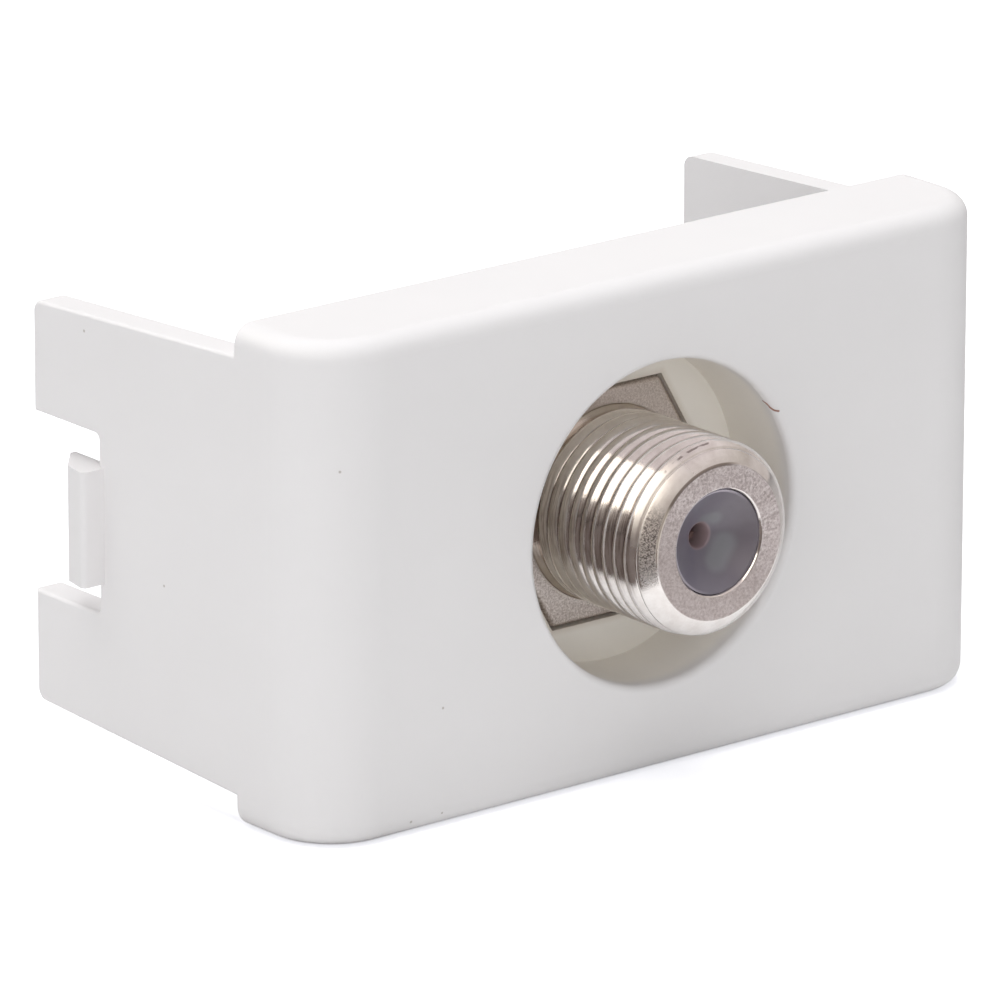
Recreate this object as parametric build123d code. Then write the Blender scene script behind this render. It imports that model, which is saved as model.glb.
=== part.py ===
from build123d import *
from math import cos, radians, tan
import os

# A snap-in television aerial outlet module: one white moulding that clips into a wall
# plate's frame and holds a screw-on coaxial coupler with a port at each end.
#
# Frame, in millimetres: the origin is where the coupler's axis crosses the front face,
# +X is to the right, the front looks along -Y, the rear is towards +Y and +Z is up.
# A depth is a distance behind the front face, so what stands in front of it is negative.

# Housing, outside
body_width = 41.6
body_height = 24.4
box_depth = 6.2
total_depth = 21.6
corner_radius = 3.7
edge_radius = 1.0
rear_edge = 0.15

# Housing, walls
front_wall = 2.6
side_wall = 1.5
lip_wall = 1.8

# Side arms that run back from the box
arm_inset = 1.5
arm_taper_deg = 3.0
arm_corner = 0.6
arm_edge = 0.2

# Notch in each arm's rear edge, and the snap hook that reaches into it
notch_depth = 5.0
notch_height = 8.8
notch_corner = 0.3
hook_height = 5.7
hook_reach = 1.3
hook_root = 0.6
hook_ahead = 0.45
hook_land = 1.5
hook_land_drop = 0.3
hook_length = 3.0
hook_round = 0.25

# Round recess around the front port, and the seat in its floor
recess_radius = 7.9
recess_floor_radius = 7.8
recess_depth = 4.3
recess_lip = 0.35
cup_wall = 1.5
seat_web = 1.8

# Coupler body, a thread of 3/8 inch by 32 turns an inch on both sides of a hexagon
thread_radius = 4.7625
front_reach = 3.9
hex_flats = 11.0
hex_thickness = 2.2
hex_edge = 0.25
rear_thread_length = 9.7
nose_flat_radius = 3.78
nose_length = 1.0
nose_bulge = 0.14
neck_radius = 4.25
neck_length = 0.7
rear_chamfer = 0.6
relief_start = 0.2
relief_length = 0.7
port_bore_radius = 2.59
port_lip = 0.9
front_bore_radius = 3.0
rear_bore_radius = 3.35

# Insulators and the contact between them
dish_depth = 1.45
dish_inset = 0.12
pin_hole_radius = 0.6
pin_hole_length = 1.0
contact_radius = 1.2
contact_wall = 0.3
contact_tip_radius = 0.42
tine_length = 4.5
tine_taper = 1.6
slot_width = 0.35

# Nut and lock washer behind the seat
nut_flats = 11.1
nut_thickness = 2.2
nut_chamfer = 0.35
washer_radius = 6.2
washer_ring = 0.8
washer_thickness = 0.6
tooth_count = 12
tooth_width = 1.1

# Clearances
hex_gap = 0.25
thread_gap = 0.15
nut_gap = 0.04
washer_gap = 0.1
insulator_gap = 0.04
contact_gap = 0.05

# Places that follow from the sizes above
half_width = body_width / 2
half_height = body_height / 2
arm_half_height = half_height - arm_inset
arm_length = total_depth - box_depth
arm_rear_half_height = arm_half_height - arm_length * tan(radians(arm_taper_deg))
notch_front = total_depth - notch_depth
latch_depth = notch_front - hook_ahead
nose_depth = -front_reach
hex_rear = recess_depth + hex_thickness
seat_rear = hex_rear + seat_web
nut_front = seat_rear + washer_thickness
nut_rear = nut_front + nut_thickness
barrel_rear = hex_rear + rear_thread_length
cup_radius = recess_radius + cup_wall
seat_hole_radius = thread_radius + thread_gap
washer_hole_radius = thread_radius + washer_gap
middle_depth = (nose_depth + barrel_rear) / 2
dish_bottom = nose_depth + dish_depth
pocket_front = dish_bottom + pin_hole_length


def turned(points):
    """Solid turned about the port's axis from an outline of (radius, depth) points."""
    with BuildPart() as part:
        with BuildSketch(Plane.XY):
            with BuildLine():
                Polyline(*points, close=True)
            make_face()
        revolve(axis=Axis.Y)
    return part.part


def hexagon(flats, depth, length):
    """Hexagonal bar along the port's axis with flats at its top and bottom."""
    with BuildPart() as part:
        with BuildSketch(Plane.XZ.offset(-depth)):
            RegularPolygon(flats / 2, 6, major_radius=False)
        extrude(amount=-length)
    return part.part


def cylinder(radius, depth, length):
    """Round bar along the port's axis."""
    return turned([(0, depth), (radius, depth), (radius, depth + length), (0, depth + length)])


def mirrored_about_middle(points):
    """The same outline seen from the other end of the coupler."""
    return [(radius, 2 * middle_depth - depth) for radius, depth in points]


def front_box():
    """The box that shows in the wall plate, with rounded ends and softened front edges."""
    with BuildPart() as part:
        with BuildSketch(Plane.XY.offset(-half_height)):
            with Locations((0, box_depth / 2)):
                Rectangle(body_width, box_depth)
        extrude(amount=body_height)
        front_corners = part.edges().filter_by(Axis.Z).filter_by_position(Axis.Y, -0.01, 0.01)
        fillet(front_corners, min(corner_radius, box_depth - 0.5))
        rims = part.edges().filter_by_position(Axis.Z, half_height - 0.01, half_height + 0.01)
        rims += part.edges().filter_by_position(Axis.Z, -half_height - 0.01, -half_height + 0.01)
        rims = [edge for edge in rims if edge.center().Y < box_depth - 0.01]
        fillet(rims, min(edge_radius, lip_wall - 0.2))
        fillet(part.faces().sort_by(Axis.Y)[-1].edges(), rear_edge)
        with BuildSketch(Plane.XY.offset(-half_height + lip_wall)):
            with Locations((0, front_wall + total_depth / 2)):
                RectangleRounded(body_width - 2 * side_wall, total_depth, corner_radius - side_wall)
        extrude(amount=body_height - 2 * lip_wall, mode=Mode.SUBTRACT)
    return part.part


def arm():
    """Right side arm: a tapering plate behind the box, notched in its rear edge."""
    front = (corner_radius + box_depth) / 2
    front_half_height = arm_half_height + (box_depth - front) * tan(radians(arm_taper_deg))
    with BuildPart() as part:
        with BuildSketch(Plane.YZ.offset(half_width - side_wall)):
            with BuildLine():
                Polyline(
                    (front, -front_half_height),
                    (total_depth, -arm_rear_half_height),
                    (total_depth, arm_rear_half_height),
                    (front, front_half_height),
                    close=True,
                )
            make_face()
            with Locations((total_depth, 0)):
                Rectangle(2 * notch_depth, notch_height, mode=Mode.SUBTRACT)
        extrude(amount=side_wall)
        corners = part.edges().filter_by(Axis.X)
        outer = [edge for edge in corners if abs(edge.center().Z) > arm_rear_half_height - 0.01]
        outer = [edge for edge in outer if edge.center().Y > total_depth - 0.01]
        fillet(outer, arm_corner)
        corners = part.edges().filter_by(Axis.X)
        fillet([edge for edge in corners if abs(edge.center().Y - notch_front) < 0.01], notch_corner)
        outline = part.faces().sort_by(Axis.X)[-1].edges()
        fillet([edge for edge in outline if edge.center().Y > front + 0.01], arm_edge)
    return part.part


def hook():
    """Snap hook on the right arm: square towards the front, sloped towards the rear."""
    face = half_width
    tip_depth = latch_depth + hook_length
    with BuildPart() as part:
        with BuildSketch(Plane.XY.offset(-hook_height / 2)):
            with BuildLine():
                Polyline(
                    (face - hook_root, latch_depth),
                    (face + hook_reach, latch_depth),
                    (face + hook_reach - hook_land_drop, latch_depth + hook_land),
                    (face - hook_root / 2, tip_depth),
                    (face - hook_root, tip_depth),
                    close=True,
                )
            make_face()
        extrude(amount=hook_height)
        upright = part.edges().filter_by(Axis.Z)
        fillet([edge for edge in upright if edge.center().X > face + hook_round], hook_round)
    return part.part


def make_housing():
    """The whole moulding: box, cup around the port, arms and hooks in one piece."""
    shell = front_box() + cylinder(cup_radius, front_wall / 2, seat_rear - front_wall / 2)
    shell -= turned([
        (0, -1.0),
        (recess_radius, -1.0),
        (recess_radius, 0),
        (recess_floor_radius, recess_depth),
        (0, recess_depth),
    ])
    shell -= hexagon(hex_flats + 2 * hex_gap, recess_depth - 0.1, hex_thickness + 0.1)
    shell -= cylinder(seat_hole_radius, hex_rear - 0.1, seat_web + 0.2)
    mouth = [
        edge
        for edge in shell.edges().filter_by(GeomType.CIRCLE)
        if abs(edge.center().Y) < 0.01 and abs(edge.radius - recess_radius) < 0.01
    ]
    shell = fillet(mouth, recess_lip)
    right_side = arm() + hook()
    return shell + right_side + right_side.mirror(Plane.YZ)


def make_coupler_body():
    """Turned body: threaded nose, hexagon with broken edges, threaded tail and a through bore.

    A relief in the tail's thread ends the nut's stretch and starts the rear port's.
    """
    nose_end = nose_depth + nose_length
    bulge_radius = (nose_flat_radius + thread_radius) / 2 + nose_bulge
    bulge_depth = nose_depth + nose_length / 2 - nose_bulge
    neck_start = recess_depth - neck_length
    relief_front = nut_rear - relief_start
    relief_rear = relief_front + relief_length
    with BuildPart() as part:
        with BuildSketch(Plane.XY):
            with BuildLine():
                Line((0, nose_depth), (nose_flat_radius, nose_depth))
                ThreePointArc(
                    (nose_flat_radius, nose_depth),
                    (bulge_radius, bulge_depth),
                    (thread_radius, nose_end),
                )
                Polyline(
                    (thread_radius, nose_end),
                    (thread_radius, neck_start),
                    (neck_radius, neck_start + thread_radius - neck_radius),
                    (neck_radius, recess_depth),
                    (neck_radius, hex_rear + neck_length - (thread_radius - neck_radius)),
                    (thread_radius, hex_rear + neck_length),
                    (thread_radius, relief_front),
                    (neck_radius, relief_front),
                    (neck_radius, relief_rear),
                    (thread_radius, relief_rear),
                    (thread_radius, barrel_rear - rear_chamfer),
                    (thread_radius - rear_chamfer, barrel_rear),
                    (0, barrel_rear),
                    (0, nose_depth),
                )
            make_face()
        revolve(axis=Axis.Y)
    flange = hexagon(hex_flats, recess_depth, hex_thickness)
    flange = chamfer(flange.edges().filter_by(Axis.Y), hex_edge)
    front_rim = flange.faces().sort_by(Axis.Y)[0].edges()
    flange = chamfer(front_rim, hex_edge / 2)
    body = part.part + flange
    body -= turned([
        (0, nose_depth - 1),
        (port_bore_radius, nose_depth - 1),
        (port_bore_radius, nose_depth + port_lip),
        (front_bore_radius, nose_depth + port_lip),
        (front_bore_radius, middle_depth),
        (rear_bore_radius, middle_depth),
        (rear_bore_radius, barrel_rear - port_lip),
        (port_bore_radius, barrel_rear - port_lip),
        (port_bore_radius, barrel_rear + 1),
        (0, barrel_rear + 1),
    ])
    return body


def insulator_outline(bore_radius):
    """Half outline of an insulator at the front: a dished face, a pin hole, the contact's pocket."""
    neck = port_bore_radius - insulator_gap
    barrel = bore_radius - insulator_gap
    shoulder = nose_depth + port_lip
    pocket_radius = contact_radius + contact_gap
    return [
        (pin_hole_radius, dish_bottom),
        (neck, nose_depth + dish_inset),
        (neck, shoulder),
        (barrel, shoulder),
        (barrel, middle_depth),
        (pocket_radius, middle_depth),
        (pocket_radius, pocket_front),
        (pin_hole_radius, pocket_front),
    ]


def make_front_insulator():
    """Insulator seen through the front port."""
    return turned(insulator_outline(front_bore_radius))


def make_rear_insulator():
    """Slightly thicker insulator pressed in from the rear end."""
    return turned(mirrored_about_middle(insulator_outline(rear_bore_radius)))


def make_centre_contact():
    """Sprung tube, slit crosswise at both ends into four tines that close in at the tips."""
    inside = contact_radius - contact_wall
    tip = pocket_front + contact_gap
    near = [
        (contact_tip_radius, tip),
        (contact_radius - contact_gap, tip),
        (contact_radius, tip + tine_taper),
        (contact_radius, middle_depth),
    ]
    inner = [(inside, middle_depth), (inside, tip + tine_taper)]
    tube = turned(near + inner) + turned(mirrored_about_middle(near + inner))
    far_tip = 2 * middle_depth - tip
    for depth in (tip - 0.5, far_tip - tine_length):
        with BuildPart() as slots:
            with Locations((0, depth + (tine_length + 0.5) / 2, 0)):
                Box(slot_width, tine_length + 0.5, 4 * contact_radius)
                Box(4 * contact_radius, tine_length + 0.5, slot_width)
        tube -= slots.part
    return tube


def make_lock_washer():
    """Ring with teeth on its inner edge, lying on the seat's rear face."""
    ring_inner = washer_radius - washer_ring
    ring = cylinder(washer_radius, seat_rear, washer_thickness)
    ring -= cylinder(ring_inner, seat_rear - 0.1, washer_thickness + 0.2)
    tooth_length = ring_inner - washer_hole_radius + washer_ring / 2
    with BuildPart() as teeth:
        for index in range(tooth_count):
            with Locations(Plane.XZ.offset(-seat_rear) * Rot(0, 0, index * 360 / tooth_count)):
                with Locations((washer_hole_radius + tooth_length / 2, 0, -washer_thickness / 2)):
                    Box(tooth_length, tooth_width, washer_thickness)
    return ring + teeth.part


def make_hex_nut():
    """Hexagon nut with its corners turned off at both faces."""
    corner = nut_flats / 2 / cos(radians(30))
    crown = turned([
        (0, nut_front),
        (corner - 2 * nut_chamfer, nut_front),
        (corner + nut_chamfer, nut_front + 1.5 * nut_chamfer),
        (corner + nut_chamfer, nut_rear - 1.5 * nut_chamfer),
        (corner - 2 * nut_chamfer, nut_rear),
        (0, nut_rear),
    ])
    nut = hexagon(nut_flats, nut_front, nut_thickness) & crown
    return nut - cylinder(thread_radius + nut_gap, nut_front - 0.1, nut_thickness + 0.2)


nodes = {
    "housing": make_housing(),
    "coupler_body": make_coupler_body(),
    "front_insulator": make_front_insulator(),
    "rear_insulator": make_rear_insulator(),
    "centre_contact": make_centre_contact(),
    "lock_washer": make_lock_washer(),
    "hex_nut": make_hex_nut(),
}

os.makedirs("parts", exist_ok=True)
for name, shape in nodes.items():
    export_step(shape, f"parts/{name}.step")
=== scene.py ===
import math

import bmesh
import bpy
from mathutils import Matrix, Vector


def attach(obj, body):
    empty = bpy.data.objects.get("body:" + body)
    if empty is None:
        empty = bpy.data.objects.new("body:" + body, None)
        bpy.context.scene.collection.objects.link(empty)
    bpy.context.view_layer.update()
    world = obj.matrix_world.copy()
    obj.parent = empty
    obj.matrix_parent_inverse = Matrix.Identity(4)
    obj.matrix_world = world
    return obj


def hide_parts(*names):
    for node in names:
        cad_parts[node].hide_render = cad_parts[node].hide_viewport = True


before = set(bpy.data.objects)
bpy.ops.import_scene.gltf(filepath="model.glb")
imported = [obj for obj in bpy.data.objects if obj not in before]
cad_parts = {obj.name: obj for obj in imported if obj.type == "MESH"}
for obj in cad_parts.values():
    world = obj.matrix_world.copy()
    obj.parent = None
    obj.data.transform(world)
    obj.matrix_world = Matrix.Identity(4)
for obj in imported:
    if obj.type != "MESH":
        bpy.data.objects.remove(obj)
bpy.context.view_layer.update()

# A white snap-in aerial outlet module with a nickel-plated screw-on coaxial coupler.
# Metres, in the row frame: the port's axis is Y, the front looks along -Y and +Z is up.
# New meshes take the place of the coupler's body and of both insulators, because the helical
# threads are only modelled here. Every other solid is shown as it is, with a material.

MM = 0.001

# Sizes that the solids have too: the coupler, the recess round it and the floor under it
THREAD_R = 4.7625 * MM
PITCH = 25.4 / 32 * MM
NOSE_Y = -3.9 * MM
NOSE_FLAT_R = 3.78 * MM
NOSE_LENGTH = 1.0 * MM
NOSE_BULGE = 0.14 * MM
NECK_R = 4.25 * MM
NECK_LENGTH = 0.7 * MM
HEX_Y = 4.3 * MM
HEX_REAR_Y = 6.5 * MM
HEX_FLATS = 11.0 * MM
RELIEF_Y = 10.9 * MM
RELIEF_LENGTH = 0.7 * MM
BARREL_REAR_Y = 16.2 * MM
REAR_CHAMFER = 0.6 * MM
DISH_DEPTH = 1.45 * MM
PIN_HOLE_R = 0.6 * MM
RECESS_R = 7.9 * MM
FLOOR_Z = -12.2 * MM

# What is finer than in the solids. The hexagon is a little wider, because its edges are rounded.
HEX_SEEN_FLATS = 11.3 * MM
HEX_BEVEL = 0.26 * MM
HEX_BEVEL_STEPS = 4
HEX_RING_R = 4.80 * MM
NECK_FLARE = 0.35 * MM
PORT_BORE_R = 2.56 * MM
PORT_LIP = 0.9 * MM
BORE_RIM = 0.10 * MM
RIM_WANDER = 0.014 * MM
FLAT_EDGE = 0.012 * MM
DISH_INSET = 0.12 * MM
DISH_SAG = 0.10 * MM
DISH_EDGE = 0.03 * MM
DISH_STEPS = 24
INSULATOR_GAP = 0.04 * MM
PIN_HOLE_SEEN = 1.4 * MM
PIN_HOLE_ROUND = 0.05 * MM
FRONT_SEGMENTS = 256
REAR_SEGMENTS = 160
INSULATOR_SEGMENTS = 96

# The thread's profile: its depth, and how far the crest runs to the front and to the rear of its
# middle, in shares of a turn. It is highest at the skew, and the crown is the share of the depth
# that it has dropped by at its front edge, at first as steeply as the slope says.
THREAD_DEPTH = 0.40 * MM
CREST_FRONT = 0.40
CREST_REAR = 0.25
CREST_CROWN = 0.62
CREST_SKEW = 0.14
CREST_SLOPE = 0.30
# Places in a turn where the thread's mesh has a row, in pairs where the profile bends
THREAD_ROWS = [0.0, 0.05, 0.10, 0.14, 0.18, 0.238, 0.262, 0.33, 0.40, 0.46, 0.49, 0.51, 0.55,
               0.588, 0.612, 0.66, 0.72, 0.78, 0.84, 0.90, 0.95]

# The torn edge where the front thread runs out: height, depth behind the nose, and degrees
BURR = 0.06 * MM
BURR_DEPTH = 1.0 * MM
BURR_HALF_LENGTH = 0.22 * MM
BURR_MIDDLE = 99
BURR_HALF_ANGLE = 15

# The photograph's camera
CAMERA_PLACE = Vector((-300.91, -356.34, 147.77)) * MM
CAMERA_AZIMUTH = math.radians(-39.225)
CAMERA_ELEVATION = math.radians(17.456)
CAMERA_ROLL = math.radians(0.079)
CAMERA_LENS = 374.94
SENSOR = 36.0

# Marks that the photographed object carries, in millimetres: a fibre on the recess's lip, specks
# of dirt with their widths, scratches on the nose's flat, and on the dish a scratch and pale
# swirls with their widths
FIBRE = [(6.34, 0.42, 4.69), (6.42, 0.29, 4.58), (6.60, 0.23, 4.36), (6.77, 0.11, 4.22),
         (6.98, 0.02, 4.16)]
SPECKS = [((-13.42, 0.0, -6.32), 0.09), ((-15.29, 0.05, -11.52), 0.10),
          ((-13.45, 0.04, -11.47), 0.08), ((-20.8, 17.57, 9.24), 0.10),
          ((-20.8, 11.57, -1.78), 0.09), ((-19.03, 0.55, 6.11), 0.09)]
FLAT_SCRATCHES = [((2.89, -3.87, -0.43), (2.90, -3.87, -1.42)),
                  ((3.02, -3.87, 0.62), (3.50, -3.87, 0.78))]
DISH_SCRATCH = ((-2.05, -3.55, -0.79), (-1.35, -3.27, -0.98))
DISH_SWIRLS = [((0.62, -2.95, -1.25), (1.20, -2.90, -0.50), 0.75),
               ((0.10, -2.80, 0.70), (0.70, -2.80, 0.75), 0.5)]
FIBRE_WIDTH = 0.07
FLAT_SCRATCH_WIDTH = 0.035
DISH_SCRATCH_WIDTH = 0.06

# Studio: the even level of light that falls on the object from all round, the floor's white for
# the camera near the lamps and far from them, and how far the floor shows lit in a mirror,
# towards the front left and in every direction
DOME_LEVEL = 0.17
FLOOR_WHITE_NEAR = 0.55
FLOOR_WHITE_FAR = 0.92
LAMPS_REACH = 0.2
LAMPS_END = 1.0
MIRRORED_GLOW = 0.22
LIT_FLOOR = 12.5 * MM
DARK_FLOOR = 16 * MM
NEAR_FLOOR = 22 * MM
FAR_FLOOR = 40 * MM
FLOOR_SIZE = 6.0

# Softboxes: name, place and size in metres, and power in watts
SOFTBOXES = [
    ("top_softbox", (0.0, 0.06, 0.48), 0.45, 2.3),
    ("left_softbox", (-0.42, -0.25, 0.20), 0.40, 0.74),
    ("rear_softbox", (-0.36, 0.40, 0.20), 0.40, 0.40),
    ("right_softbox", (0.50, -0.12, 0.20), 0.40, 0.25),
    ("front_softbox", (-0.08, -0.58, 0.10), 0.50, 0.62),
]


# Small helpers for node materials

def new_material(name):
    """A material with an empty node tree but for its output and a Principled shader."""
    material = bpy.data.materials.new(name)
    material.use_nodes = True
    tree = material.node_tree
    tree.nodes.clear()
    output = tree.nodes.new("ShaderNodeOutputMaterial")
    shader = tree.nodes.new("ShaderNodeBsdfPrincipled")
    tree.links.new(shader.outputs["BSDF"], output.inputs["Surface"])
    return material, tree, shader


def place_on(tree):
    """Position in the row frame, in metres."""
    return tree.nodes.new("ShaderNodeTexCoord").outputs["Object"]


def noise(tree, vector, scale, detail=4.0, roughness=0.6):
    node = tree.nodes.new("ShaderNodeTexNoise")
    node.inputs["Scale"].default_value = scale
    node.inputs["Detail"].default_value = detail
    node.inputs["Roughness"].default_value = roughness
    tree.links.new(vector, node.inputs["Vector"])
    return node.outputs["Fac"]


def ramp(tree, value, stops):
    """Colour ramp with (place, colour) stops."""
    node = tree.nodes.new("ShaderNodeValToRGB")
    elements = node.color_ramp.elements
    while len(elements) < len(stops):
        elements.new(0.5)
    for element, (place, colour) in zip(elements, stops):
        element.position = place
        element.color = (*colour, 1.0)
    tree.links.new(value, node.inputs["Fac"])
    return node.outputs["Color"]


def span(tree, value, from_low, from_high, to_low=0.0, to_high=1.0):
    """Value mapped smoothly from one range to another and held inside it."""
    node = tree.nodes.new("ShaderNodeMapRange")
    node.interpolation_type = "SMOOTHSTEP"
    node.inputs["From Min"].default_value = from_low
    node.inputs["From Max"].default_value = from_high
    node.inputs["To Min"].default_value = to_low
    node.inputs["To Max"].default_value = to_high
    tree.links.new(value, node.inputs["Value"])
    return node.outputs["Result"]


def maths(tree, operation, first, second=None):
    node = tree.nodes.new("ShaderNodeMath")
    node.operation = operation
    for socket, value in zip(node.inputs, (first, second)):
        if value is None:
            continue
        if isinstance(value, (int, float)):
            socket.default_value = value
        else:
            tree.links.new(value, socket)
    return node.outputs["Value"]


def product(tree, first, *others):
    for other in others:
        first = maths(tree, "MULTIPLY", first, other)
    return first


def sum_of(tree, first, *others):
    for other in others:
        first = maths(tree, "ADD", first, other)
    return first


def largest(tree, values):
    values = list(values)
    most = values[0]
    for value in values[1:]:
        most = maths(tree, "MAXIMUM", most, value)
    return most


def rest_of(tree, mask):
    """One where a mask is nought, and nought where it is one."""
    return maths(tree, "SUBTRACT", 1.0, mask)


def close_to(tree, value, middle, edge, full):
    """Mask of a narrow band: one within full of its middle and nought beyond edge."""
    away = maths(tree, "ABSOLUTE", maths(tree, "SUBTRACT", value, middle))
    return span(tree, away, edge, full)


def mix_colour(tree, factor, first, second):
    node = tree.nodes.new("ShaderNodeMix")
    node.data_type = "RGBA"
    sockets = (node.inputs[0], node.inputs[6], node.inputs[7])
    for socket, value in zip(sockets, (factor, first, second)):
        if isinstance(value, (int, float)):
            socket.default_value = value
        elif isinstance(value, tuple):
            socket.default_value = (*value, 1.0)
        else:
            tree.links.new(value, socket)
    return node.outputs[2]


def paint(tree, base, colour, *masks):
    """The base colour with another one over it, as strongly as the product of masks and weights."""
    return mix_colour(tree, product(tree, *masks), base, colour)


def vector_maths(tree, operation, first, second=None):
    """A vector node's two outputs, vector and value, of which the caller takes one."""
    node = tree.nodes.new("ShaderNodeVectorMath")
    node.operation = operation
    for socket, value in zip(node.inputs, (first, second)):
        if value is None:
            continue
        if isinstance(value, Vector):
            socket.default_value = value
        else:
            tree.links.new(value, socket)
    return node.outputs[0], node.outputs[1]


def vector_of(tree, x, y, z):
    node = tree.nodes.new("ShaderNodeCombineXYZ")
    for socket, value in zip(node.inputs, (x, y, z)):
        tree.links.new(value, socket)
    return node.outputs["Vector"]


def mark(tree, place, start, end, width):
    """Mask of a short straight mark between two points in millimetres, one in its middle."""
    start = Vector(start) * MM
    run = Vector(end) * MM - start
    away = vector_maths(tree, "SUBTRACT", place, start)[0]
    if run.length > 0:
        along = vector_maths(tree, "DOT_PRODUCT", away, run)[1]
        share = maths(tree, "DIVIDE", along, run.length_squared)
        share = maths(tree, "MINIMUM", maths(tree, "MAXIMUM", share, 0.0), 1.0)
        nearest = tree.nodes.new("ShaderNodeVectorMath")
        nearest.operation = "SCALE"
        nearest.inputs[0].default_value = run
        tree.links.new(share, nearest.inputs["Scale"])
        away = vector_maths(tree, "SUBTRACT", away, nearest.outputs["Vector"])[0]
    distance = vector_maths(tree, "LENGTH", away)[1]
    return span(tree, distance, width * MM, width * 0.4 * MM)


def bump(tree, shader, height, strength, distance):
    node = tree.nodes.new("ShaderNodeBump")
    node.inputs["Strength"].default_value = strength
    node.inputs["Distance"].default_value = distance
    tree.links.new(height, node.inputs["Height"])
    tree.links.new(node.outputs["Normal"], shader.inputs["Normal"])


def around_port(tree):
    """Radius from the port's axis, depth along it, and the direction from it: across and upward."""
    split = tree.nodes.new("ShaderNodeSeparateXYZ")
    tree.links.new(place_on(tree), split.inputs["Vector"])
    x, y, z = split.outputs
    radius = maths(tree, "SQRT", sum_of(tree, product(tree, x, x), product(tree, z, z)))
    return radius, y, maths(tree, "DIVIDE", x, radius), maths(tree, "DIVIDE", z, radius)


def towards(tree, across, upward, degrees, half_width, soft):
    """Mask of the part of a turning that lies within half_width degrees of a direction.

    The direction's angle runs from the right over the top. The mask's edge is soft degrees wide.
    """
    angle = math.radians(degrees)
    near = sum_of(tree, product(tree, across, math.cos(angle)),
                  product(tree, upward, math.sin(angle)))
    edge = math.cos(math.radians(half_width + soft / 2))
    full = math.cos(math.radians(max(half_width - soft / 2, 0.0)))
    return span(tree, near, edge, full)


def lathe_marks(tree, depth, across, upward, spacing):
    """Fine lines round a turning, which change a little along their length."""
    spread = 3.0
    place = vector_of(tree, maths(tree, "DIVIDE", depth, spacing), product(tree, across, spread),
                      product(tree, upward, spread))
    return noise(tree, place, 1.0, 3.0)


# Materials

def white_plastic():
    """Satin white moulding, with painted warm bounce light down in the recess and painted shade
    round the hexagon, and the specks and marks it carries.
    """
    material, tree, shader = new_material("white_moulding")
    place = place_on(tree)
    radius, depth, across, upward = around_port(tree)
    colour = ramp(tree, noise(tree, place, 90.0, 3.0),
                  [(0.35, (0.84, 0.826, 0.832)), (0.7, (0.855, 0.841, 0.847))])

    # Painted warm bounce light: the recess, from just behind its lip to the hexagon's seat, is
    # painted warmer and brighter
    inside = product(tree, span(tree, radius, RECESS_R + 0.15 * MM, RECESS_R - 0.1 * MM),
                     span(tree, depth, 0.1 * MM, 1.2 * MM),
                     span(tree, depth, 7.0 * MM, 6.6 * MM))
    colour = paint(tree, colour, (0.99, 0.955, 0.89), inside)

    # Painted shade: a brown contact shadow on the recess's floor along the hexagon's sides
    x = product(tree, across, radius)
    z = product(tree, upward, radius)
    sides = []
    for turn in (math.radians(30), math.radians(90), math.radians(150)):
        out = sum_of(tree, product(tree, x, math.cos(turn)), product(tree, z, math.sin(turn)))
        sides.append(maths(tree, "ABSOLUTE", out))
    from_hexagon = maths(tree, "SUBTRACT", largest(tree, sides), HEX_FLATS / 2)
    hexagon_contact_shade = product(tree, span(tree, from_hexagon, 0.65 * MM, 0.2 * MM),
                    span(tree, depth, 4.0 * MM, 4.2 * MM), span(tree, depth, 4.5 * MM, 4.35 * MM))
    colour = paint(tree, colour, (0.56, 0.46, 0.36), hexagon_contact_shade, 0.35)

    fibre = [mark(tree, place, start, end, FIBRE_WIDTH) for start, end in zip(FIBRE, FIBRE[1:])]
    colour = paint(tree, colour, (0.30, 0.13, 0.09), largest(tree, fibre))
    specks = [mark(tree, place, speck, speck, width) for speck, width in SPECKS]
    colour = paint(tree, colour, (0.34, 0.29, 0.25), largest(tree, specks), 0.6)
    tree.links.new(colour, shader.inputs["Base Color"])

    shader.inputs["Roughness"].default_value = 0.42
    shader.inputs["Specular IOR Level"].default_value = 0.4
    height = sum_of(tree, noise(tree, place, 9000.0, 2.0),
                    product(tree, noise(tree, place, 260.0), 0.6))
    bump(tree, shader, height, 0.12, 0.02 * MM)
    return material


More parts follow.
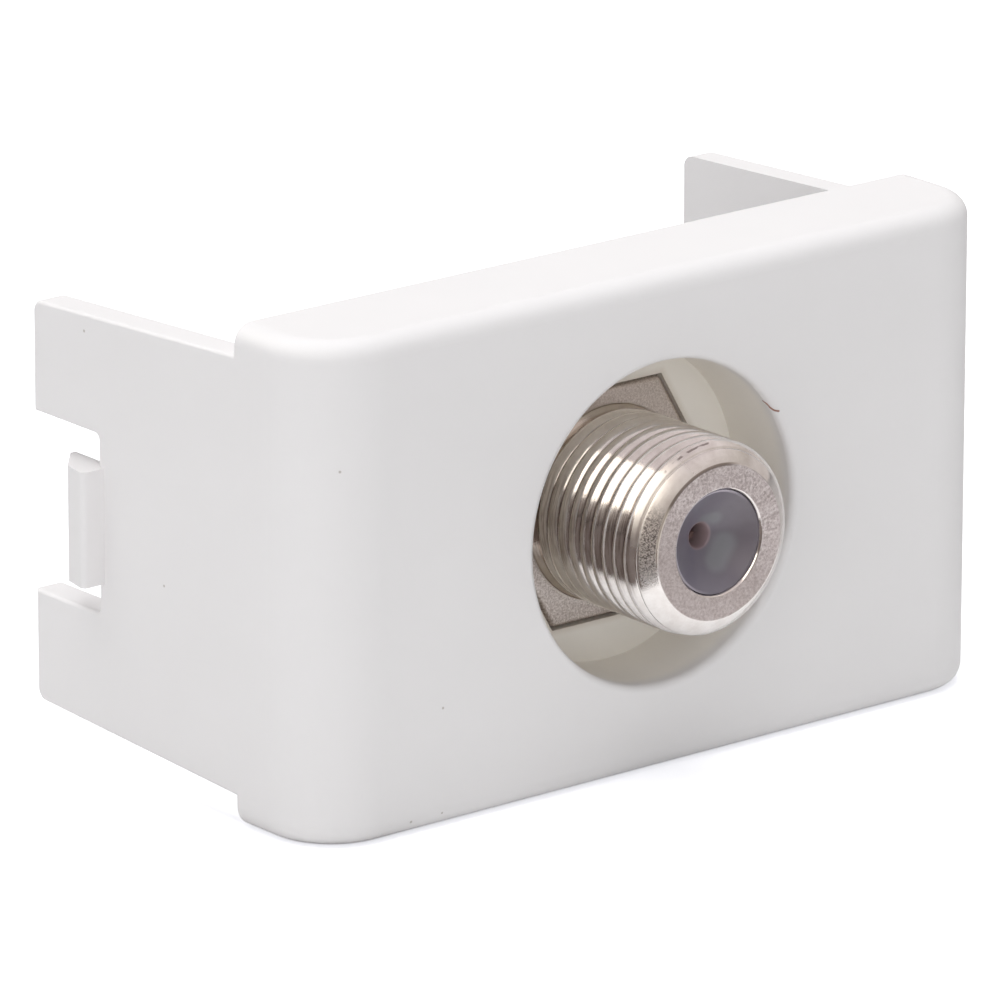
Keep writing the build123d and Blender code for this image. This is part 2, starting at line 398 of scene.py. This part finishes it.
def nickel():
    """Nickel plate: bright on the crests, with painted shade in the roots and a painted dark
    reflection on the left, speckled on the nose's flat.
    """
    material, tree, shader = new_material("nickel_plate")
    place = place_on(tree)
    radius, depth, across, upward = around_port(tree)

    def facing(degrees, half_width, soft):
        return towards(tree, across, upward, degrees, half_width, soft)

    grain = noise(tree, place, 9000.0, 3.0)
    patch = noise(tree, place, 1400.0, 4.0)
    turned = lathe_marks(tree, depth, across, upward, 0.07 * MM)
    base = ramp(tree, patch, [(0.3, (0.72, 0.675, 0.645)), (0.65, (0.83, 0.795, 0.77))])

    # Thread: painted shade in the roots and in the brown undercut, and a painted dark reflection on
    # the side away from the light
    threaded = span(tree, depth, NOSE_Y + 0.9 * MM, NOSE_Y + 1.1 * MM)
    root = span(tree, radius, THREAD_R - 0.17 * MM, THREAD_R - 0.29 * MM)
    base = paint(tree, base, (0.16, 0.12, 0.10), root, threaded, 0.85)
    # Painted shade: the undercut in front of the hexagon is painted brown
    neck_y = HEX_Y - NECK_LENGTH
    neck = product(tree, span(tree, depth, neck_y, neck_y + 0.1 * MM),
                   span(tree, depth, HEX_Y + 0.1 * MM, HEX_Y))
    base = paint(tree, base, (0.42, 0.34, 0.26), neck, 0.6)
    # Painted dark reflection: the thread's left side is painted brown, both evenly and along turned
    # streaks
    base = paint(tree, base, (0.34, 0.28, 0.25), facing(183.0, 14.0, 16.0), threaded, 0.35)
    reflection_streaks = product(tree, facing(176.0, 24.0, 24.0), threaded, span(tree, turned, 0.44, 0.60))
    base = paint(tree, base, (0.24, 0.18, 0.15), reflection_streaks, 0.55)

    # The nose's flat: speckled, scored outwards at the right and browner towards the lower left
    rim = PORT_BORE_R + BORE_RIM
    flat = product(tree, span(tree, radius, NOSE_FLAT_R + 0.02 * MM, NOSE_FLAT_R - 0.05 * MM),
                   span(tree, radius, rim - 0.02 * MM, rim + 0.01 * MM),
                   span(tree, depth, NOSE_Y + 0.07 * MM, NOSE_Y + 0.04 * MM))
    not_flat = rest_of(tree, flat)
    ray_spread = 26.0
    rays = noise(tree, vector_of(tree, product(tree, across, ray_spread),
                                 product(tree, upward, ray_spread),
                                 maths(tree, "DIVIDE", radius, 0.9 * MM)), 1.0, 3.0)
    scored = product(tree, facing(22.0, 34.0, 30.0), 0.45)
    fleck = sum_of(tree, noise(tree, place, 7800.0, 4.0, 0.75),
                   product(tree, maths(tree, "SUBTRACT", rays, 0.5), scored))
    speckle = ramp(tree, fleck, [(0.36, (0.52, 0.45, 0.44)), (0.5, (0.76, 0.685, 0.675)),
                                 (0.64, (0.96, 0.90, 0.89))])
    speckle = paint(tree, speckle, (0.36, 0.30, 0.28), facing(-115.0, 90.0, 80.0), 0.5)
    base = paint(tree, base, speckle, flat)

    # The rounded nose: a pitted patch at the left, and along the flat's edge a painted shade line
    # at the top and a painted highlight line at the left
    nose = span(tree, depth, NOSE_Y + 1.02 * MM, NOSE_Y + 0.96 * MM)
    pitted = product(tree, facing(172.0, 18.0, 26.0), nose, not_flat,
                     span(tree, depth, NOSE_Y + 0.01 * MM, NOSE_Y + 0.06 * MM),
                     span(tree, depth, NOSE_Y + 0.56 * MM, NOSE_Y + 0.46 * MM))
    pits = span(tree, noise(tree, place, 11500.0, 4.0, 0.75), 0.42, 0.60)
    pitting = mix_colour(tree, pits, (0.10, 0.08, 0.075), (0.66, 0.61, 0.58))
    base = paint(tree, base, pitting, pitted, 0.9)
    # Painted shade and painted highlight along the flat's edge: dark towards the top, light towards
    # the left
    ridge_shade_and_highlight = product(tree, close_to(tree, radius, NOSE_FLAT_R, 0.10 * MM, 0.055 * MM),
                    span(tree, depth, NOSE_Y + 0.16 * MM, NOSE_Y + 0.10 * MM))
    base = paint(tree, base, (0.20, 0.155, 0.13), ridge_shade_and_highlight, facing(113.0, 36.0, 16.0), 0.8)
    base = paint(tree, base, (0.97, 0.90, 0.80), ridge_shade_and_highlight, facing(164.0, 18.0, 14.0), 0.8)

    # Dashes where the thread runs out on top, and the scratches on the flat
    run_out = product(tree, close_to(tree, depth, NOSE_Y + 0.80 * MM, 0.055 * MM, 0.025 * MM),
                      facing(106.0, 19.0, 4.0),
                      span(tree, noise(tree, place, 1900.0, 0.0), 0.40, 0.50))
    base = paint(tree, base, (0.20, 0.16, 0.15), run_out, 0.75)
    scratches = [mark(tree, place, start, end, FLAT_SCRATCH_WIDTH) for start, end in FLAT_SCRATCHES]
    base = paint(tree, base, (0.15, 0.12, 0.12), largest(tree, scratches), 0.7)
    tree.links.new(base, shader.inputs["Base Color"])

    shader.inputs["Metallic"].default_value = 1.0
    dull = product(tree, facing(143.0, 30.0, 20.0), nose)
    rough = sum_of(tree, span(tree, patch, 0.25, 0.8, 0.07, 0.16),
                   product(tree, largest(tree, (flat, pitted, dull)), 0.28))
    tree.links.new(rough, shader.inputs["Roughness"])
    height = sum_of(tree, product(tree, grain, 0.35), product(tree, turned, not_flat, 0.8),
                    product(tree, pits, pitted, 1.6), product(tree, fleck, flat, 1.3))
    bump(tree, shader, height, 0.5, 0.012 * MM)
    return material


def grained_nickel():
    """The hexagon's pressed face: nickel over a coarse grain, turned smooth round the thread."""
    material, tree, shader = new_material("grained_nickel")
    place = place_on(tree)
    radius, depth, across, upward = around_port(tree)
    face = span(tree, depth, HEX_Y + 0.08 * MM, HEX_Y + 0.02 * MM)
    smooth = product(tree, span(tree, radius, HEX_RING_R + 0.02 * MM, HEX_RING_R - 0.05 * MM), face)
    coarse = rest_of(tree, smooth)
    grain = noise(tree, place, 9500.0, 5.0, 0.8)
    base = ramp(tree, grain, [(0.38, (0.42, 0.36, 0.33)), (0.5, (0.62, 0.56, 0.53)),
                              (0.62, (0.84, 0.79, 0.76))])
    # Painted light: the hexagon's face is painted lighter towards its top
    base = paint(tree, base, (0.95, 0.87, 0.81), span(tree, upward, -0.2, 0.6), 0.3)
    base = paint(tree, base, (0.52, 0.44, 0.37), smooth)
    # Painted highlight: a light line where the smooth turned ring meets the grain
    line = close_to(tree, radius, HEX_RING_R, 0.06 * MM, 0.02 * MM)
    base = paint(tree, base, (0.80, 0.74, 0.68), line, face, 0.55)
    tree.links.new(base, shader.inputs["Base Color"])
    shader.inputs["Metallic"].default_value = 1.0
    tree.links.new(span(tree, smooth, 0.0, 1.0, 0.42, 0.30), shader.inputs["Roughness"])
    height = sum_of(tree, product(tree, grain, coarse), product(tree, coarse, 0.8))
    bump(tree, shader, height, 0.6, 0.04 * MM)
    return material


def insulator_plastic():
    """Translucent blue-grey plastic with pale swirls round the pin hole, a light scratch and a
    painted highlight along the dish's rim.
    """
    material, tree, shader = new_material("insulator_plastic")
    place = place_on(tree)
    radius, depth, across, upward = around_port(tree)
    flow = noise(tree, place, 420.0, 4.0)
    right = span(tree, product(tree, across, radius), -1.2 * MM, 2.4 * MM)
    cool = mix_colour(tree, right, (0.180, 0.162, 0.205), (0.165, 0.142, 0.162))
    base = paint(tree, cool, (0.220, 0.202, 0.228), span(tree, flow, 0.35, 0.7, 0.0, 0.5))
    # Painted highlight: a pale lavender band along the dish's rim towards the upper left
    edge = product(tree, span(tree, radius, PORT_BORE_R - 0.19 * MM, PORT_BORE_R - 0.12 * MM),
                   span(tree, depth, NOSE_Y + DISH_INSET + 0.25 * MM,
                        NOSE_Y + DISH_INSET + 0.18 * MM),
                   towards(tree, across, upward, 150.0, 85.0, 60.0))
    base = paint(tree, base, (0.62, 0.56, 0.64), edge, 0.8)
    swirls = [mark(tree, place, start, end, width) for start, end, width in DISH_SWIRLS]
    base = paint(tree, base, (0.25, 0.26, 0.27), largest(tree, swirls), 0.6)
    hole = span(tree, radius, PIN_HOLE_R + 0.14 * MM, PIN_HOLE_R + 0.01 * MM)
    base = paint(tree, base, (0.35, 0.26, 0.27), hole, 0.9)
    base = paint(tree, base, (0.62, 0.60, 0.62),
                 mark(tree, place, *DISH_SCRATCH, DISH_SCRATCH_WIDTH), 0.5)
    tree.links.new(base, shader.inputs["Base Color"])
    shader.inputs["Roughness"].default_value = 0.32
    shader.inputs["Subsurface Weight"].default_value = 0.3
    shader.inputs["Subsurface Radius"].default_value = (0.8, 0.8, 1.0)
    shader.inputs["Subsurface Scale"].default_value = 0.5 * MM
    bump(tree, shader, noise(tree, place, 1800.0), 0.15, 0.02 * MM)
    return material


def brass():
    """Brass tube whose tips, seen down the pin holes, are brown and dull."""
    material, tree, shader = new_material("contact_brass")
    place = place_on(tree)
    depth = around_port(tree)[1]
    base = ramp(tree, noise(tree, place, 900.0),
                [(0.3, (0.52, 0.36, 0.19)), (0.7, (0.74, 0.56, 0.32))])
    tip = largest(tree, (span(tree, depth, 0.0, -0.6 * MM),
                         span(tree, depth, 12.3 * MM, 12.9 * MM)))
    base = paint(tree, base, (0.30, 0.20, 0.18), tip)
    tree.links.new(base, shader.inputs["Base Color"])
    tree.links.new(rest_of(tree, tip), shader.inputs["Metallic"])
    shader.inputs["Roughness"].default_value = 0.3
    bump(tree, shader, noise(tree, place, 6000.0), 0.2, 0.01 * MM)
    return material


# Turned pieces. A row is a circle of vertices round the port's axis.

def add_rows(build, rows, segments):
    """Adds a surface through rows of (radius, depth); a radius may be a function of the angle."""
    grid = []
    for radius, depth in rows:
        line = []
        for index in range(segments):
            angle = 2 * math.pi * index / segments
            out = radius(angle) if callable(radius) else radius
            line.append(build.verts.new((out * math.cos(angle), depth, out * math.sin(angle))))
        grid.append(line)
    for low, high in zip(grid, grid[1:]):
        for index in range(segments):
            after = (index + 1) % segments
            build.faces.new((low[index], high[index], high[after], low[after]))


def smooth_piece(name, build, material):
    """Welds a bmesh into a smooth object with one material."""
    bmesh.ops.remove_doubles(build, verts=list(build.verts), dist=1e-8)
    bmesh.ops.dissolve_degenerate(build, edges=list(build.edges), dist=1e-9)
    loose = [vertex for vertex in build.verts if not vertex.link_faces]
    bmesh.ops.delete(build, geom=loose, context="VERTS")
    mesh = bpy.data.meshes.new(name)
    build.to_mesh(mesh)
    build.free()
    for polygon in mesh.polygons:
        polygon.use_smooth = True
    mesh.materials.append(material)
    piece = bpy.data.objects.new(name, mesh)
    bpy.context.scene.collection.objects.link(piece)
    return piece


def nose_radius(depth):
    """Radius of the rounded nose at a depth, and the crest radius behind it."""
    along = (depth - NOSE_Y) / NOSE_LENGTH
    if along >= 1:
        return THREAD_R
    chord = NOSE_FLAT_R + (THREAD_R - NOSE_FLAT_R) * along
    return chord + NOSE_BULGE * math.sqrt(2) * 4 * along * (1 - along)


def groove(phase):
    """Share of the thread's depth at a place in one turn: a rounded crest near 0, a root at 0.5.

    The crest is highest a little behind its middle and rolls off towards the port's end.
    """
    place = (phase + 0.5) % 1.0 - 0.5
    edge = min(max(place, -CREST_FRONT), CREST_REAR)
    away = abs(CREST_SKEW - edge) / (CREST_FRONT + CREST_SKEW)
    drop = CREST_CROWN * away * (CREST_SLOPE + (1 - CREST_SLOPE) * away)
    return drop + (1 - drop) * abs(place - edge) / (0.5 - abs(edge))


def burr(angle, depth):
    """Height of the torn edge where the front thread runs out at the nose's top."""
    degrees = math.degrees(angle)
    from_middle = abs(degrees - BURR_MIDDLE) / BURR_HALF_ANGLE
    from_edge = abs(depth - NOSE_Y - BURR_DEPTH) / BURR_HALF_LENGTH
    if from_middle >= 1 or from_edge >= 1:
        return 0.0
    torn = 0.5 + 0.5 * math.sin(degrees * 2.9) * math.sin(degrees * 1.3 + 1.0)
    return BURR * torn * (1 - from_middle ** 4) * (1 - from_edge ** 2)


def add_quad(build, *corners):
    """A face between four corners, unless all of them lie at one depth, past the thread's end."""
    depths = [corner.co.y for corner in corners]
    if max(depths) - min(depths) > 1e-9:
        build.faces.new(corners)


def thread(build, start, end, blank, cut, segments):
    """Adds a turning from one depth to another, threaded between the two depths of cut.

    blank gives the uncut radius at a depth. The grid runs along the helix, so that the crests'
    edges are clean.
    """
    first = math.floor(start / PITCH) - 1
    last = math.ceil(end / PITCH) + 1
    rows = [whole + phase for whole in range(first, last) for phase in THREAD_ROWS]
    grid = []
    for row in rows:
        line = []
        for index in range(segments):
            share = index / segments
            depth = min(max((row + share) * PITCH, start), end)
            radius = blank(depth)
            if cut[0] < depth < cut[1]:
                sunk = THREAD_DEPTH * groove((depth / PITCH - share) % 1.0)
                radius = min(radius, THREAD_R - sunk)
            angle = 2 * math.pi * share
            radius += burr(angle, depth)
            line.append(build.verts.new((radius * math.cos(angle), depth,
                                         radius * math.sin(angle))))
        grid.append(line)
    for row in range(len(rows) - len(THREAD_ROWS) - 1):
        for index in range(segments - 1):
            add_quad(build, grid[row][index], grid[row + 1][index], grid[row + 1][index + 1],
                     grid[row][index + 1])
        ahead = row + len(THREAD_ROWS)
        add_quad(build, grid[row][-1], grid[row + 1][-1], grid[ahead + 1][0], grid[ahead][0])


def front_blank(depth):
    """Uncut radius of the front: rounded nose, undercut, and flare in front of the hexagon."""
    neck = HEX_Y - NECK_LENGTH
    if depth > neck:
        flare = THREAD_R - (HEX_Y - depth) * (THREAD_R - NECK_R) / NECK_FLARE
        return max(NECK_R, THREAD_R - (depth - neck), flare)
    return nose_radius(depth)


def rear_blank(depth):
    """Uncut radius of the rear: undercut, relief behind the nut, and end chamfer."""
    neck = HEX_REAR_Y + NECK_LENGTH
    if depth < neck:
        return max(NECK_R, THREAD_R - (neck - depth))
    if RELIEF_Y < depth < RELIEF_Y + RELIEF_LENGTH:
        return NECK_R
    return min(THREAD_R, THREAD_R - REAR_CHAMFER + BARREL_REAR_Y - depth)


def ragged_rim(angle):
    """Radius of the bore's deburred rim, which wanders a little round the port."""
    wander = (math.sin(5 * angle + 1.0) + 0.7 * math.sin(13 * angle + 2.0)
              + 0.5 * math.sin(29 * angle))
    return PORT_BORE_R + 0.6 * BORE_RIM + RIM_WANDER * wander


def coupler_front(plate):
    """The front port: its bore's rim, the nose and the front thread."""
    start = NOSE_Y + FLAT_EDGE
    build = bmesh.new()
    add_rows(build, [
        (PORT_BORE_R, NOSE_Y + PORT_LIP),
        (PORT_BORE_R, NOSE_Y + BORE_RIM),
        (ragged_rim, NOSE_Y + 0.2 * BORE_RIM),
        (PORT_BORE_R + BORE_RIM, NOSE_Y),
        (PORT_BORE_R + BORE_RIM + FLAT_EDGE, NOSE_Y),
        (NOSE_FLAT_R - 2 * FLAT_EDGE, NOSE_Y),
        (NOSE_FLAT_R - FLAT_EDGE, NOSE_Y),
        (front_blank(start), start),
    ], FRONT_SEGMENTS)
    thread(build, start, HEX_Y, front_blank, (start, HEX_Y - NECK_FLARE), FRONT_SEGMENTS)
    return smooth_piece("coupler_front", build, plate)


def coupler_rear(plate):
    """The rear thread and the rear port's end and bore."""
    end_r = rear_blank(BARREL_REAR_Y)
    build = bmesh.new()
    thread(build, HEX_REAR_Y, BARREL_REAR_Y, rear_blank, (HEX_REAR_Y, BARREL_REAR_Y),
           REAR_SEGMENTS)
    add_rows(build, [
        (end_r, BARREL_REAR_Y),
        (end_r - FLAT_EDGE, BARREL_REAR_Y),
        (PORT_BORE_R + BORE_RIM + FLAT_EDGE, BARREL_REAR_Y),
        (PORT_BORE_R + BORE_RIM, BARREL_REAR_Y),
        (PORT_BORE_R, BARREL_REAR_Y - BORE_RIM),
        (PORT_BORE_R, BARREL_REAR_Y - PORT_LIP),
    ], REAR_SEGMENTS)
    return smooth_piece("coupler_rear", build, plate)


def coupler_hexagon(grained):
    """The body's hexagon with rounded edges."""
    build = bmesh.new()
    corner = HEX_SEEN_FLATS / 2 / math.cos(math.radians(30))
    near = [build.verts.new((corner * math.cos(turn), HEX_Y, corner * math.sin(turn)))
            for turn in (math.radians(60 * index) for index in range(6))]
    far = [build.verts.new((vertex.co.x, HEX_REAR_Y, vertex.co.z)) for vertex in near]
    build.faces.new(near)
    build.faces.new(list(reversed(far)))
    for index in range(6):
        after = (index + 1) % 6
        build.faces.new((near[after], near[index], far[index], far[after]))
    bmesh.ops.recalc_face_normals(build, faces=build.faces)
    bmesh.ops.bevel(build, geom=list(build.edges), offset=HEX_BEVEL, segments=HEX_BEVEL_STEPS,
                    profile=0.5, affect="EDGES")
    return smooth_piece("coupler_hexagon", build, grained)


def insulator(name, plastic, mirrored):
    """Dished insulator with a rounded run from the dish into the pin hole."""
    ends = NOSE_Y + BARREL_REAR_Y
    bottom = NOSE_Y + DISH_DEPTH
    outer = PORT_BORE_R - INSULATOR_GAP
    inner = PIN_HOLE_R + PIN_HOLE_ROUND
    rows = [(outer, NOSE_Y + PORT_LIP), (outer, NOSE_Y + DISH_INSET + DISH_EDGE)]
    for step in range(DISH_STEPS + 1):
        along = step / DISH_STEPS
        sag = DISH_SAG * math.sin(math.pi * along)
        depth = NOSE_Y + DISH_INSET + (DISH_DEPTH - DISH_INSET) * along + sag
        rows.append((outer + (inner - outer) * along, depth))
    rows += [(PIN_HOLE_R, bottom + PIN_HOLE_ROUND), (PIN_HOLE_R, bottom + PIN_HOLE_SEEN)]
    if mirrored:
        rows = [(radius, ends - depth) for radius, depth in rows]
    build = bmesh.new()
    add_rows(build, rows, INSULATOR_SEGMENTS)
    piece = smooth_piece(name, build, plastic)
    if mirrored:
        piece.data.flip_normals()
    return piece


# The object

def dress(node, material):
    """Gives a solid its material and nothing else."""
    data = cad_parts[node].data
    data.materials.clear()
    data.materials.append(material)


plate = nickel()
grained = grained_nickel()
plastic = insulator_plastic()

dress("housing", white_plastic())
dress("hex_nut", plate)
dress("lock_washer", plate)
dress("centre_contact", brass())

for piece in (coupler_front(plate), coupler_rear(plate), coupler_hexagon(grained)):
    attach(piece, "root")
    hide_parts("coupler_body")
for name, mirrored in (("front_insulator", False), ("rear_insulator", True)):
    piece = insulator(name + "_dish", plastic, mirrored)
    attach(piece, "root")
    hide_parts(name)


# Studio

def floor_material():
    """Pale floor that shows white, keeps a soft shadow and in a mirror is dim far from the port."""
    material = bpy.data.materials.new("pale_floor")
    material.use_nodes = True
    tree = material.node_tree
    tree.nodes.clear()
    output = tree.nodes.new("ShaderNodeOutputMaterial")
    paper = tree.nodes.new("ShaderNodeBsdfDiffuse")
    glow = tree.nodes.new("ShaderNodeEmission")
    glow.inputs["Color"].default_value = (0.93, 0.94, 1.0, 1)
    path = tree.nodes.new("ShaderNodeLightPath")
    mirrored = maths(tree, "MAXIMUM", path.outputs["Is Glossy Ray"],
                     path.outputs["Is Transmission Ray"])
    place = tree.nodes.new("ShaderNodeNewGeometry").outputs["Position"]
    front_left = vector_maths(tree, "DOT_PRODUCT", place, Vector((-0.95, -0.3, 0.0)))[1]
    distance = vector_maths(tree, "LENGTH", place)[1]
    lit = product(tree, span(tree, front_left, LIT_FLOOR, DARK_FLOOR, 1.0, 0.0),
                  span(tree, distance, NEAR_FLOOR, FAR_FLOOR, 1.0, 0.35))
    white = span(tree, distance, LAMPS_REACH, LAMPS_END, FLOOR_WHITE_NEAR, FLOOR_WHITE_FAR)
    shown = sum_of(tree, product(tree, path.outputs["Is Camera Ray"], white),
                   product(tree, mirrored, lit, MIRRORED_GLOW))
    tree.links.new(shown, glow.inputs["Strength"])
    dim = product(tree, mirrored, rest_of(tree, lit))
    tone = mix_colour(tree, dim, (0.90, 0.90, 0.90), (0.20, 0.17, 0.16))
    tree.links.new(tone, paper.inputs["Color"])
    both = tree.nodes.new("ShaderNodeAddShader")
    tree.links.new(paper.outputs[0], both.inputs[0])
    tree.links.new(glow.outputs[0], both.inputs[1])
    tree.links.new(both.outputs[0], output.inputs["Surface"])
    return material


def lay_floor():
    """Square floor under the object."""
    half = FLOOR_SIZE / 2
    mesh = bpy.data.meshes.new("floor")
    mesh.from_pydata([(-half, -half, 0), (half, -half, 0), (half, half, 0), (-half, half, 0)],
                     [], [(0, 1, 2, 3)])
    mesh.materials.append(floor_material())
    floor = bpy.data.objects.new("floor", mesh)
    floor.location = (0, 0, FLOOR_Z)
    bpy.context.scene.collection.objects.link(floor)


def light_world():
    """White for the camera, a soft even dome for light, and a studio for what mirrors it.

    The studio that metal shows is the room's brown near the horizon and pale above, with a wide
    cream window high on the left.
    """
    world = bpy.data.worlds.new("studio")
    world.use_nodes = True
    tree = world.node_tree
    tree.nodes.clear()
    output = tree.nodes.new("ShaderNodeOutputWorld")
    dome = tree.nodes.new("ShaderNodeBackground")
    path = tree.nodes.new("ShaderNodeLightPath")
    split = tree.nodes.new("ShaderNodeSeparateXYZ")
    direction = tree.nodes.new("ShaderNodeTexCoord").outputs["Generated"]
    tree.links.new(direction, split.inputs["Vector"])
    x, y, z = split.outputs
    studio = ramp(tree, z, [
        (0.0, (0.17, 0.145, 0.135)),
        (0.16, (0.26, 0.22, 0.20)),
        (0.36, (0.60, 0.55, 0.51)),
        (0.70, (0.84, 0.77, 0.76)),
        (0.86, (0.76, 0.69, 0.69)),
        (1.0, (0.72, 0.65, 0.65)),
    ])
    studio = paint(tree, studio, (0.66, 0.61, 0.59), span(tree, x, 0.05, 0.45),
                   span(tree, z, 0.40, 0.20))
    upper_edge = sum_of(tree, product(tree, x, 0.788), product(tree, z, 0.616))
    lower_edge = sum_of(tree, product(tree, x, 0.400), product(tree, z, 0.917))
    studio = paint(tree, studio, (2.5, 2.35, 2.1), span(tree, upper_edge, 0.33, 0.27),
                   span(tree, lower_edge, -0.07, 0.03), span(tree, x, 0.0, -0.12),
                   span(tree, y, -0.86, -0.60))
    mirrored = maths(tree, "MAXIMUM", path.outputs["Is Glossy Ray"],
                     path.outputs["Is Transmission Ray"])
    colour = mix_colour(tree, mirrored, (DOME_LEVEL, DOME_LEVEL, DOME_LEVEL), studio)
    colour = mix_colour(tree, path.outputs["Is Camera Ray"], colour, (1.0, 1.0, 1.0))
    tree.links.new(colour, dome.inputs["Color"])
    tree.links.new(dome.outputs[0], output.inputs["Surface"])
    bpy.context.scene.world = world


def soft_light(name, place, size, power):
    """Square area lamp that looks at the object; what metal mirrors is the world's studio alone."""
    lamp = bpy.data.lights.new(name, "AREA")
    lamp.shape = "SQUARE"
    lamp.size = size
    lamp.energy = power
    light = bpy.data.objects.new(name, lamp)
    light.location = place
    light.rotation_euler = (-Vector(place)).to_track_quat("-Z", "Y").to_euler()
    light.visible_glossy = False
    bpy.context.scene.collection.objects.link(light)


def set_camera():
    """The photograph's camera, from its place, angles and lens."""
    back = Vector((math.sin(CAMERA_AZIMUTH) * math.cos(CAMERA_ELEVATION),
                   -math.cos(CAMERA_AZIMUTH) * math.cos(CAMERA_ELEVATION),
                   math.sin(CAMERA_ELEVATION)))
    right = Vector((math.cos(CAMERA_AZIMUTH), math.sin(CAMERA_AZIMUTH), 0))
    up = back.cross(right)
    turned_right = right * math.cos(CAMERA_ROLL) + up * math.sin(CAMERA_ROLL)
    turned_up = up * math.cos(CAMERA_ROLL) - right * math.sin(CAMERA_ROLL)
    data = bpy.data.cameras.new("photo_camera")
    data.sensor_width = SENSOR
    data.lens = CAMERA_LENS
    data.clip_start = 0.01
    data.clip_end = 20
    camera = bpy.data.objects.new("photo_camera", data)
    axes = Matrix((turned_right, turned_up, back)).transposed().to_4x4()
    camera.matrix_world = Matrix.Translation(CAMERA_PLACE) @ axes
    bpy.context.scene.collection.objects.link(camera)
    bpy.context.scene.camera = camera


lay_floor()
light_world()
for softbox in SOFTBOXES:
    soft_light(*softbox)
set_camera()
bpy.context.scene.view_settings.view_transform = "Standard"
